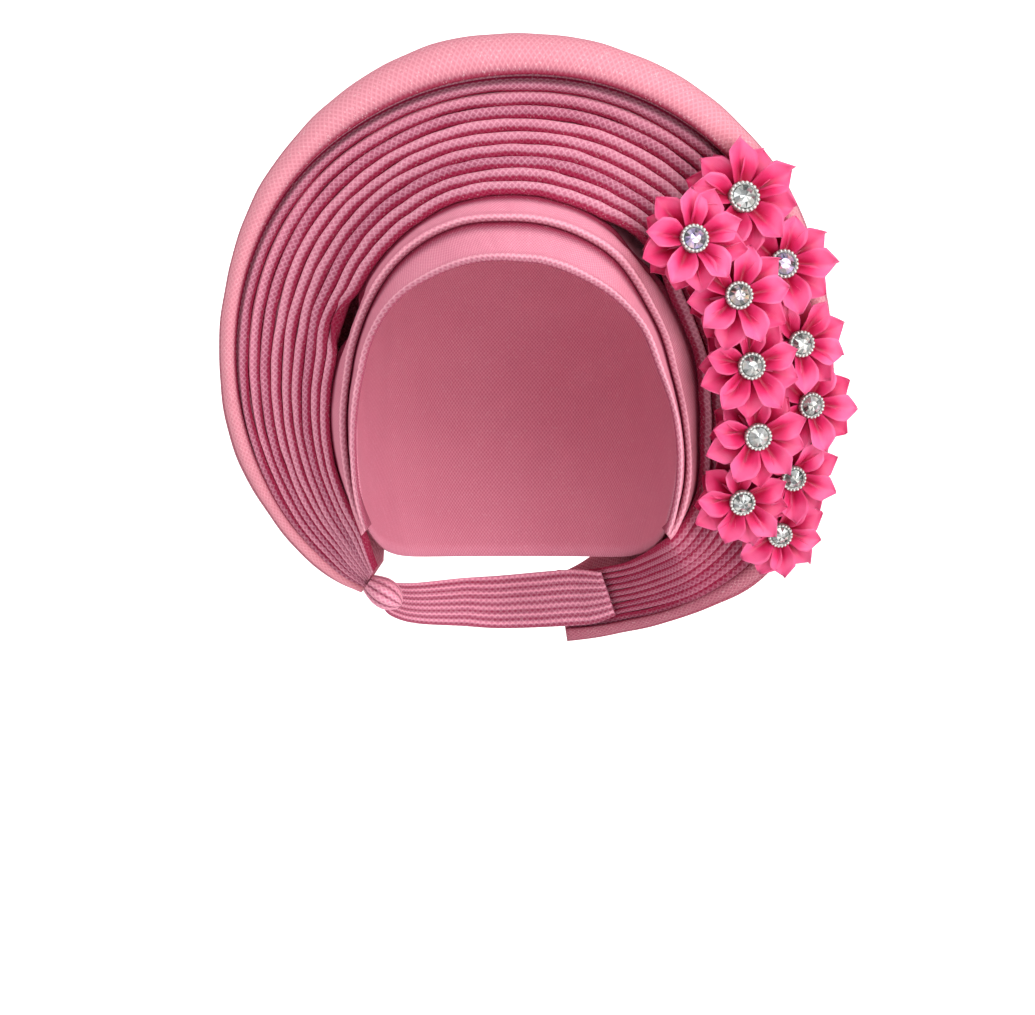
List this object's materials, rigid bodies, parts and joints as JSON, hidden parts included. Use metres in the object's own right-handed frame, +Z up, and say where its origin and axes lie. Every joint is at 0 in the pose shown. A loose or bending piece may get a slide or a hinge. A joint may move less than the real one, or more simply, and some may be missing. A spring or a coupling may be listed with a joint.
{
  "type": "tied gele head tie",
  "caption": "Ready-tied gele head tie: pleated cloth fan in a wide outer wrap, brow folds on a soft cap, and a spray of ribbon flowers with stone centres down one side.",
  "frame": {"origin": "the crown of the head, where it meets the inside of the cap", "axes": "+Z up, -Y the way the face looks, +X the wearer's left, where the flowers are"},
  "size_m": [0.2686, 0.1894, 0.2566],
  "materials": {
    "cloth": "woven, soft sheen",
    "ribbon": "satin",
    "setting_metal": "polished",
    "crystal": "cut and clear"
  },
  "bodies": {
    "root": {"crown_cap": "cloth", "brow_fold": "cloth", "upper_fold": "cloth", "pleat_1": "cloth", "pleat_2": "cloth", "pleat_3": "cloth", "pleat_4": "cloth", "pleat_5": "cloth", "pleat_6": "cloth", "pleat_7": "cloth", "pleat_8": "cloth", "pleat_9": "cloth", "outer_wrap": "cloth", "side_knot": "cloth", "nape_tie": "cloth", "flower_1": "ribbon", "flower_2": "ribbon", "flower_3": "ribbon", "flower_4": "ribbon", "flower_5": "ribbon", "flower_6": "ribbon", "flower_7": "ribbon", "flower_8": "ribbon", "flower_9": "ribbon", "flower_10": "ribbon", "flower_11": "ribbon", "setting_1": "setting_metal", "setting_2": "setting_metal", "setting_3": "setting_metal", "setting_4": "setting_metal", "setting_5": "setting_metal", "setting_6": "setting_metal", "setting_7": "setting_metal", "setting_8": "setting_metal", "setting_9": "setting_metal", "setting_10": "setting_metal", "setting_11": "setting_metal", "stone_1": "crystal", "stone_2": "crystal", "stone_3": "crystal", "stone_4": "crystal", "stone_5": "crystal", "stone_6": "crystal", "stone_7": "crystal", "stone_8": "crystal", "stone_9": "crystal", "stone_10": "crystal", "stone_11": "crystal"}
  },
  "joints": []
}
